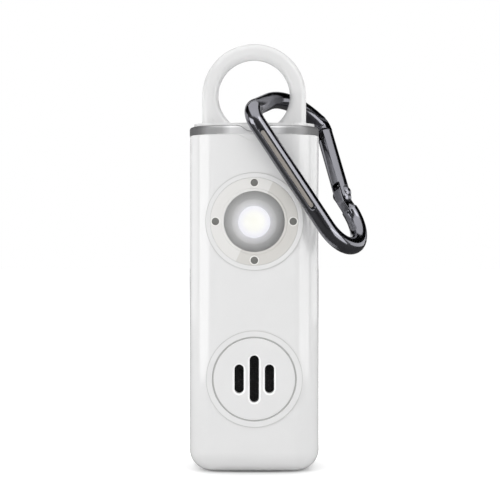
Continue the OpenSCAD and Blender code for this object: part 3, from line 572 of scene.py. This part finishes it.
def easeEdges(name, piece):
    source = nodes[piece["node"]].data
    work = bmesh.new()
    points = [work.verts.new(v.co) for v in source.vertices]
    for face in source.polygons:
        work.faces.new([points[i] for i in face.vertices])
    bmesh.ops.remove_doubles(work, verts=work.verts, dist=easeSet["weld"] * mm)
    flat = math.radians(easeSet["flat"])
    bmesh.ops.dissolve_limit(work, angle_limit=flat, verts=work.verts, edges=work.edges)
    if "cut" in piece:
        whole = work.verts[:] + work.edges[:] + work.faces[:]
        bmesh.ops.bisect_plane(work, geom=whole, plane_co=(0, 0, piece["cut"] * mm), plane_no=(0, 0, 1))
    mesh = bpy.data.meshes.new(name)
    work.to_mesh(mesh)
    work.free()
    shadeByAngle(mesh)
    thing = bpy.data.objects.new(name + "Raw", mesh)
    scene.collection.objects.link(thing)
    ease = thing.modifiers.new("ease", "BEVEL")
    ease.width = piece["round"] * mm
    ease.segments = easeSet["segments"]
    ease.limit_method = "ANGLE"
    ease.angle_limit = math.radians(easeSet["sharp"])
    ease.use_clamp_overlap = False
    level = thing.modifiers.new("level", "WEIGHTED_NORMAL")
    level.keep_sharp = True
    return settle(thing)


for name, piece in easedEdges.items():
    mesh = easeEdges(name, piece)
    addPiece(name, mesh, piece["node"])
    print("edges eased:", name, len(mesh.polygons), "faces")

# the band's tongue, below its straight edge, is moulded in white like the shell
tongueSet = {"below": easedEdges["topBand"]["cut"] - 0.02}  # mm, clear of the metal's own lower face
band = bpy.data.objects["topBand"].data
band.materials.append(made["glossWhiteAbs"])
for face in band.polygons:
    if face.center.z < tongueSet["below"] * mm:
        face.material_index = 1

# the slots' chamfers, painted brighter as a painted highlight: faces near the slots that lean between the
# front and the sides
chamferSet = {"lean": (-0.97, -0.25), "reach": 6}  # Y of the normal, and mm from the middle
steep, shallow = chamferSet["lean"]
disc = bpy.data.objects["soundDisc"].data
disc.materials.append(made["buffedAbs"])
for face in disc.polygons:
    if steep < face.normal.y < shallow and abs(face.center.x) < chamferSet["reach"] * mm:
        face.material_index = 1


# turns a profile of (radius, depth) in mm about the Y axis; one that comes back to its start is closed there
def turned(name, profile, steps):
    work = bmesh.new()
    rings = []
    closed = profile[0] == profile[-1]
    for radius, depth in profile[:-1] if closed else profile:
        count = steps if radius > 0 else 1
        turns = [2 * math.pi * i / steps for i in range(count)]
        rings.append([
            work.verts.new((radius * mm * math.cos(turn), depth * mm, radius * mm * math.sin(turn)))
            for turn in turns
        ])
    if closed:
        rings.append(rings[0])
    for near, far in zip(rings, rings[1:]):
        for i in range(steps):
            j = i + 1
            corners = [near[i % len(near)], near[j % len(near)], far[j % len(far)], far[i % len(far)]]
            work.faces.new(list(dict.fromkeys(corners)))
    return writeMesh(name, work)


# starts a Geometry Nodes tree with its named inputs
def startTree(name, sizes):
    tree = bpy.data.node_groups.new(name, "GeometryNodeTree")
    tree.interface.new_socket("Geometry", in_out="OUTPUT", socket_type="NodeSocketGeometry")
    for label, size in sizes.items():
        kind = "NodeSocketObject" if isinstance(size, bpy.types.Object) else "NodeSocketFloat"
        tree.interface.new_socket(label, in_out="INPUT", socket_type=kind)
    return tree, addNode(tree, "NodeGroupInput").outputs


# ends the tree, runs it on an empty mesh and gives the result as a plain mesh
def growMesh(tree, shape, sizes, finish):
    real = addNode(tree, "GeometryNodeRealizeInstances", {"Geometry": shape})
    dressed = addNode(
        tree,
        "GeometryNodeSetMaterial",
        {"Geometry": real.outputs[0], "Material": made[finish]},
    )
    addNode(tree, "NodeGroupOutput", {0: dressed.outputs[0]})
    host = bpy.data.objects.new(tree.name, bpy.data.meshes.new(tree.name))
    scene.collection.objects.link(host)
    grow = host.modifiers.new(tree.name, "NODES")
    grow.node_group = tree
    for item in tree.interface.items_tree:
        if item.in_out == "INPUT":
            grow[item.identifier] = sizes[item.name]
    return settle(host)


# puts a template at each point of a mesh primitive, which is stood upright at a height in mm
def repeated(name, points, template, finish, height):
    pattern = bpy.data.objects.new(name + "Pattern", template)
    scene.collection.objects.link(pattern)
    sizes = {"Pattern": pattern}
    tree, given = startTree(name, sizes)
    row = addNode(tree, points["kind"], points["inputs"])
    stood = addNode(
        tree,
        "GeometryNodeTransform",
        {
            "Geometry": row.outputs["Mesh"],
            "Rotation": (math.radians(90), 0, 0),
            "Translation": (0, 0, height * mm),
        },
    )
    info = addNode(tree, "GeometryNodeObjectInfo", {"Object": given["Pattern"]})
    copies = addNode(
        tree,
        "GeometryNodeInstanceOnPoints",
        {"Points": stood.outputs[0], "Instance": info.outputs["Geometry"]},
    )
    mesh = growMesh(tree, copies.outputs[0], sizes, finish)
    bpy.data.objects.remove(pattern)
    return mesh


# four studs in the lamp ring; dome: radius, and depth behind the stud's front
studSet = {"circle": 8.85, "steps": 40,
           "dome": [(0, 0), (0.4, 0.01), (0.66, 0.06), (0.79, 0.15), (0.825, 0.28)]}
low, high = [[v / mm for v in corner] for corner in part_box("bezel_studs")]
profile = [(radius, low[1] + depth) for radius, depth in studSet["dome"]]
profile += [(studSet["dome"][-1][0], high[1]), (0, high[1])]
stud = turned("stud", profile, studSet["steps"])
ring = {"kind": "GeometryNodeMeshCircle", "inputs": {"Vertices": 4, "Radius": studSet["circle"] * mm}}
addPiece("ringStuds", repeated("studRing", ring, stud, "greyNylon", lampZ), "bezel_studs")

# a pale collar round each stud, laid on the face of the ring; its paleness is a painted highlight
collarSet = {"land": (8.3, 9.5), "radii": (0.84, 0.85, 1.08, 1.14), "proud": 0.02, "sunk": 0.05, "steps": 40}
inner, outer = [radius * mm for radius in collarSet["land"]]
points = [v.co for v in bpy.data.objects["lampRing"].data.vertices]
land = min(p.y for p in points if inner < math.hypot(p.x, p.z - lampZ * mm) < outer) / mm
top = land - collarSet["proud"]
foot = land + collarSet["sunk"]
profile = list(zip(collarSet["radii"], (foot, top, top, foot)))
collar = turned("collar", profile + profile[:1], collarSet["steps"])
collars = repeated("collarRing", ring, collar, "paleAcrylic", lampZ)
addPiece("studCollars", collars, "lamp_bezel", "paleAcrylic", stands=False)

# the hook's own lines: the frame has the gate's hinge, with the axis that stands out of the hook's plane;
# slope: of the spine, in degrees; hingeAt: mm along and across the spine from where it starts
hookSet = {"slope": 56.5, "hingeAt": (24.0045, 15.8713)}
gateJoint = next(joint for joint in frame["joints"] if joint["name"] == "gate_hinge")
hinge = Vector(gateJoint["pos_m"]) / mm
outOf = Vector(gateJoint["axis"])
slope = math.radians(hookSet["slope"])
along = Vector((math.cos(slope), 0, -math.sin(slope)))
across = outOf.cross(along)
down, over = hookSet["hingeAt"]
spineStart = hinge - along * down - across * over

# warm grey enamel in the groove of the hook's spine: a strip with round ends, slightly crowned; turn: of the
# groove about the spine, in degrees; levels: share of the half width, share of the crown
enamelSet = {"from": 2.05, "to": 22.65, "half": 0.46, "floor": 1.56, "crown": 0.16, "turn": 24,
             "steps": 10, "levels": [(1.0, 0.0), (1.0, 0.45), (0.8, 0.8), (0.45, 0.96)]}
turn = math.radians(enamelSet["turn"])
up = -across * math.cos(turn) + outOf * math.sin(turn)
beside = along.cross(up)
half = enamelSet["half"]
work = bmesh.new()
rows = []
for share, lift in enamelSet["levels"]:
    row = []
    for end, middle in ((1, enamelSet["to"] - half), (-1, enamelSet["from"] + half)):
        for i in range(enamelSet["steps"] + 1):
            angle = math.pi * i / enamelSet["steps"] - math.pi / 2
            place = (
                spineStart
                + along * (middle + end * half * share * math.cos(angle))
                + beside * (end * half * share * math.sin(angle))
                + up * (enamelSet["floor"] + enamelSet["crown"] * lift)
            )
            row.append(work.verts.new(place * mm))
    rows.append(row)
for lower, upper in zip(rows, rows[1:]):
    for i in range(len(lower)):
        j = (i + 1) % len(lower)
        work.faces.new((lower[i], lower[j], upper[j], upper[i]))
work.faces.new(rows[0])
work.faces.new(rows[-1])
addPiece("spineEnamel", writeMesh("spineEnamel", work), "carabiner_frame", "grooveEnamel", stands=False)
print("studs and spine strip made")

# spring in the gate: a coil of round wire, whose sizes are the tree's inputs
springSet = {
    "sizes": {"Turns": 6.0, "Length": 3.9 * mm, "Coil": 0.78 * mm, "Wire": 0.16 * mm},
    "turnSteps": 28,
    "wireSides": 12,
    "upGate": 4.85,  # mm from the hinge
    "gateAngle": 35.3,  # degrees between the gate and the spine
}
lean = math.radians(springSet["gateAngle"])
gateUp = -along * math.cos(lean) + across * math.sin(lean)
tree, given = startTree("coil", springSet["sizes"])
spiral = addNode(
    tree,
    "GeometryNodeCurveSpiral",
    {
        "Resolution": springSet["turnSteps"],
        "Rotations": given["Turns"],
        "Start Radius": given["Coil"],
        "End Radius": given["Coil"],
        "Height": given["Length"],
    },
)
wire = addNode(
    tree,
    "GeometryNodeCurvePrimitiveCircle",
    {"Resolution": springSet["wireSides"], "Radius": given["Wire"]},
)
tube = addNode(
    tree,
    "GeometryNodeCurveToMesh",
    {"Curve": spiral.outputs[0], "Profile Curve": wire.outputs["Curve"], "Fill Caps": True},
)
spring = growMesh(tree, tube.outputs[0], springSet["sizes"], "platedSteel")
stand = Matrix((outOf.cross(gateUp), outOf, gateUp)).transposed().to_4x4()
stand.translation = (hinge + gateUp * springSet["upGate"]) * mm
spring.transform(stand)
shadeByAngle(spring)
addPiece("gateCoil", spring, "gate_spring")
print("spring made")

# rear screws: pan heads with a cross recess, which narrows towards its floor; sizes in mm
screwSet = {
    "apart": (16.8, 63.4),
    "profile": [(0, 8.0), (0.9, 7.98), (1.4, 7.86), (1.62, 7.68), (1.7, 7.45), (1.7, 6.9), (1.0, 6.9),
                (1.0, -5.7), (0.7, -6.1), (0, -6.1)],
    "steps": 40,
    "recess": ((2.0, 0.8, 0.5), (0.5, 0.8, 2.0)),  # the two bars of the cross
    "recessAt": 7.75,  # depth of their middle
    "taper": 0.75,  # share of their size at the floor
}
raw = bpy.data.objects.new("screwRaw", turned("screw", screwSet["profile"], screwSet["steps"]))
scene.collection.objects.link(raw)
bars = []
for width, depth, height in screwSet["recess"]:
    work = bmesh.new()
    bmesh.ops.create_cube(work, size=1.0)
    for corner in work.verts:
        x, y, z = corner.co
        taper = 1.0 if y > 0 else screwSet["taper"]
        corner.co = Vector((x * width * taper, y * depth + screwSet["recessAt"], z * height * taper)) * mm
    mesh = bpy.data.meshes.new("bar")
    work.to_mesh(mesh)
    work.free()
    bars.append(bpy.data.objects.new("bar", mesh))
    scene.collection.objects.link(bars[-1])
    cut = raw.modifiers.new("cross", "BOOLEAN")
    cut.operation = "DIFFERENCE"
    cut.object = bars[-1]
screw = settle(raw)
for bar in bars:
    bpy.data.objects.remove(bar)
shadeByAngle(screw)
wide, tall = screwSet["apart"]
grid = {"kind": "GeometryNodeMeshGrid",
        "inputs": {"Size X": wide * mm, "Size Y": tall * mm, "Vertices X": 2, "Vertices Y": 2}}
screws = repeated("screwGrid", grid, screw, "platedSteel", middleHeight("rear_screws"))
addPiece("coverScrews", screws, "rear_screws")
print("screws made")

# cloth behind the slots: a plain weave, its thread drawn coarser than real so that it shows; its sizes are
# the tree's inputs
clothSet = {
    "sizes": {"Pitch": 0.5 * mm, "Swing": 0.07 * mm, "Thread": 0.13 * mm, "Reach": 10.3 * mm},
    "threads": 42,  # each way
    "half": 10.4,  # half of a thread's length, mm
    "points": 126,  # along a thread
    "sides": 5,  # round a thread
    "depth": -5.9,
    "crease": 60,  # degrees
}
tree, given = startTree("weave", clothSet["sizes"])
halfThread = clothSet["half"] * mm
line = addNode(
    tree,
    "GeometryNodeCurvePrimitiveLine",
    {"Start": (-halfThread, 0, 0), "End": (halfThread, 0, 0)},
)
fine = addNode(tree, "GeometryNodeResampleCurve", {"Curve": line.outputs[0], "Count": clothSet["points"]})
spot = addNode(tree, "GeometryNodeInputPosition").outputs[0]
beat = addNode(tree, "ShaderNodeMath", {0: math.pi, 1: given["Pitch"]}, operation="DIVIDE")
run = addNode(tree, "ShaderNodeSeparateXYZ", {0: spot})
step = addNode(tree, "ShaderNodeMath", {0: run.outputs["X"], 1: beat.outputs[0]}, operation="MULTIPLY")
pitch = clothSet["sizes"]["Pitch"]
joined = addNode(tree, "GeometryNodeJoinGeometry")
for weft in (0, 1):
    for odd in (0, 1):
        shift = odd + weft / 2
        phase = addNode(tree, "ShaderNodeMath", {0: step.outputs[0], 1: math.pi * shift}, operation="ADD")
        wave = addNode(tree, "ShaderNodeMath", {0: phase.outputs[0]}, operation="SINE")
        swing = addNode(tree, "ShaderNodeMath", {0: wave.outputs[0], 1: given["Swing"]}, operation="MULTIPLY")
        offset = addNode(tree, "ShaderNodeCombineXYZ", {"Y": swing.outputs[0]})
        thread = addNode(
            tree,
            "GeometryNodeSetPosition",
            {"Geometry": fine.outputs[0], "Offset": offset.outputs[0]},
        )
        first = (shift - clothSet["threads"] / 2) * pitch
        row = addNode(
            tree,
            "GeometryNodeMeshLine",
            {"Count": clothSet["threads"] // 2, "Start Location": (0, 0, first), "Offset": (0, 0, 2 * pitch)},
        )
        laid = addNode(
            tree,
            "GeometryNodeInstanceOnPoints",
            {"Points": row.outputs[0], "Instance": thread.outputs[0]},
        )
        turnedOver = addNode(
            tree,
            "GeometryNodeTransform",
            {"Geometry": laid.outputs[0], "Rotation": (0, -weft * math.pi / 2, 0)},
        )
        tree.links.new(turnedOver.outputs[0], joined.inputs[0])
loose = addNode(tree, "GeometryNodeRealizeInstances", {"Geometry": joined.outputs[0]})
section = addNode(
    tree,
    "GeometryNodeCurvePrimitiveCircle",
    {"Resolution": clothSet["sides"], "Radius": given["Thread"]},
)
spun = addNode(
    tree,
    "GeometryNodeCurveToMesh",
    {"Curve": loose.outputs[0], "Profile Curve": section.outputs["Curve"]},
)
flat = addNode(tree, "ShaderNodeVectorMath", {0: spot, 1: (1, 0, 1)}, operation="MULTIPLY")
away = addNode(tree, "ShaderNodeVectorMath", {0: flat.outputs[0]}, operation="LENGTH")
past = addNode(
    tree,
    "ShaderNodeMath",
    {0: away.outputs["Value"], 1: given["Reach"]},
    operation="GREATER_THAN",
)
trimmed = addNode(
    tree,
    "GeometryNodeDeleteGeometry",
    {"Geometry": spun.outputs[0], "Selection": past.outputs[0]},
)
cloth = growMesh(tree, trimmed.outputs[0], clothSet["sizes"], "wovenPolyester")
cloth.transform(Matrix.Translation(Vector((0, clothSet["depth"], sirenZ)) * mm))
shadeByAngle(cloth, clothSet["crease"])
addPiece("grilleCloth", cloth, "grille_mesh")
print("cloth made:", len(cloth.polygons), "faces")

# turned trims, each with a CAD node: a thin felt behind the cloth, so that nothing shines through the weave,
# soft seals in the joints round the lamp ring and the sound disc, and the scribed lines round both pads; the
# seals and lines are painted grey, as painted shade in the joints and along the pads' edges
trims = {
    "clothFelt": {"with": "grille_mesh", "height": sirenZ, "steps": 96,
                  "profile": [(0, -5.78), (10.15, -5.78), (10.2, -5.74), (10.15, -5.71), (0, -5.71)]},
    "ringSeal": {"with": "lamp_bezel", "height": lampZ, "steps": 128, "finish": "scribedAbs",
                 "profile": [(9.94, -8.5), (9.97, -8.58), (10.05, -8.62), (10.13, -8.58), (10.16, -8.5),
                             (9.94, -8.5)]},
    "discSeal": {"with": "siren_grille", "height": sirenZ, "steps": 128, "finish": "greyRubber",
                 "profile": [(9.31, -7.7), (9.31, -8.42), (9.36, -8.47), (9.58, -8.47), (9.64, -8.42),
                             (9.64, -7.7), (9.31, -7.7)]},
    "lampScribe": {"with": "front_housing", "height": lampZ, "steps": 160, "finish": "scribedAbs",
                   "profile": [(11.02, -8.6), (11.05, -8.665), (11.15, -8.665), (11.18, -8.6),
                               (11.02, -8.6)]},
    "sirenScribe": {"with": "front_housing", "height": sirenZ, "steps": 160, "finish": "scribedAbs",
                    "profile": [(10.87, -8.6), (10.9, -8.665), (11.0, -8.665), (11.03, -8.6),
                                (10.87, -8.6)]},
}
for name, trim in trims.items():
    mesh = turned(name, trim["profile"], trim["steps"])
    mesh.transform(Matrix.Translation((0, 0, trim["height"] * mm)))
    addPiece(name, mesh, trim["with"], trim.get("finish"), stands=False)
print("trims made:", len(trims))
